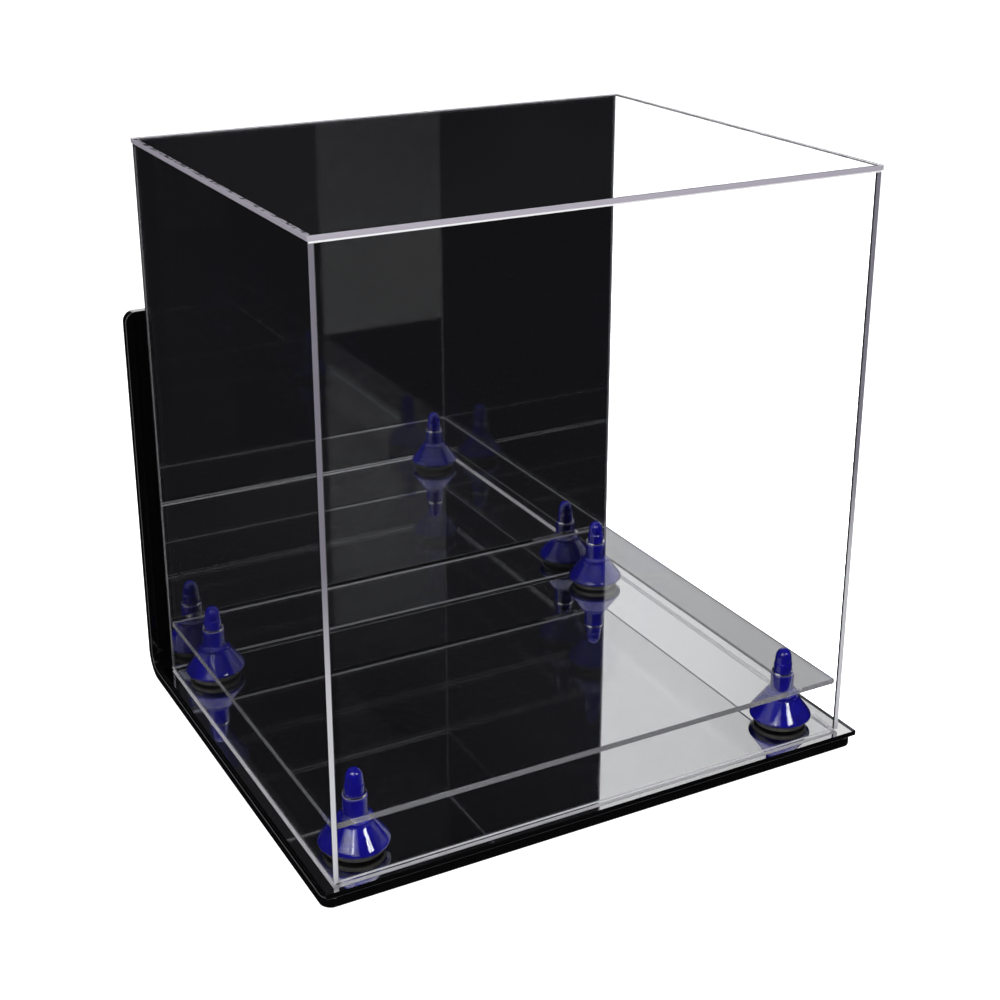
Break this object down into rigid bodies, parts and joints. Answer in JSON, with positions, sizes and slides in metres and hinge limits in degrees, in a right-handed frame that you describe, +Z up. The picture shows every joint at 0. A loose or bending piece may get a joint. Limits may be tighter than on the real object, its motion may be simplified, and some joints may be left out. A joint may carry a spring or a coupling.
{
  "type": "clear display case",
  "caption": "Clear box display case with mirrored base and back, a raised clear platform on turned blue risers, and a bent black bracket that carries it on a wall.",
  "frame": {"origin": "on the wall bracket's underside, on the cover's centre plane, midway between the bracket's front edge and the wall", "axes": "+Z up, +Y towards the wall, -Y the front, +X to the right as seen from the front"},
  "size_m": [0.407, 0.344, 0.414],
  "materials": {
    "clear_sheet": "clear polished acrylic sheet",
    "mirror_sheet": "mirrored acrylic sheet",
    "black_sheet": "polished black acrylic sheet",
    "blue_gloss": "glossy deep blue",
    "foot_rubber": "dark grey rubber"
  },
  "bodies": {
    "base": {"wall_bracket": "black_sheet", "base_mirror": "mirror_sheet"},
    "cover": {"cover_front": "clear_sheet", "cover_left": "clear_sheet", "cover_right": "clear_sheet", "cover_back_mirror": "mirror_sheet", "cover_top": "clear_sheet"},
    "risers": {"riser_front_left": "blue_gloss", "riser_front_right": "blue_gloss", "riser_rear_left": "blue_gloss", "riser_rear_right": "blue_gloss", "riser_foot_front_left": "foot_rubber", "riser_foot_front_right": "foot_rubber", "riser_foot_rear_left": "foot_rubber", "riser_foot_rear_right": "foot_rubber"},
    "platform": {"platform": "clear_sheet"}
  },
  "joints": [
    {"name": "cover_lift", "type": "slide", "parent": "base", "child": "cover", "axis": [0, 0, 1], "range_m": [0, 0.42]},
    {"name": "riser_lift", "type": "slide", "parent": "base", "child": "risers", "axis": [0, 0, 1], "range_m": [0, 0.16]},
    {"name": "platform_lift", "type": "slide", "parent": "risers", "child": "platform", "axis": [0, 0, 1], "range_m": [0, 0.16]}
  ]
}
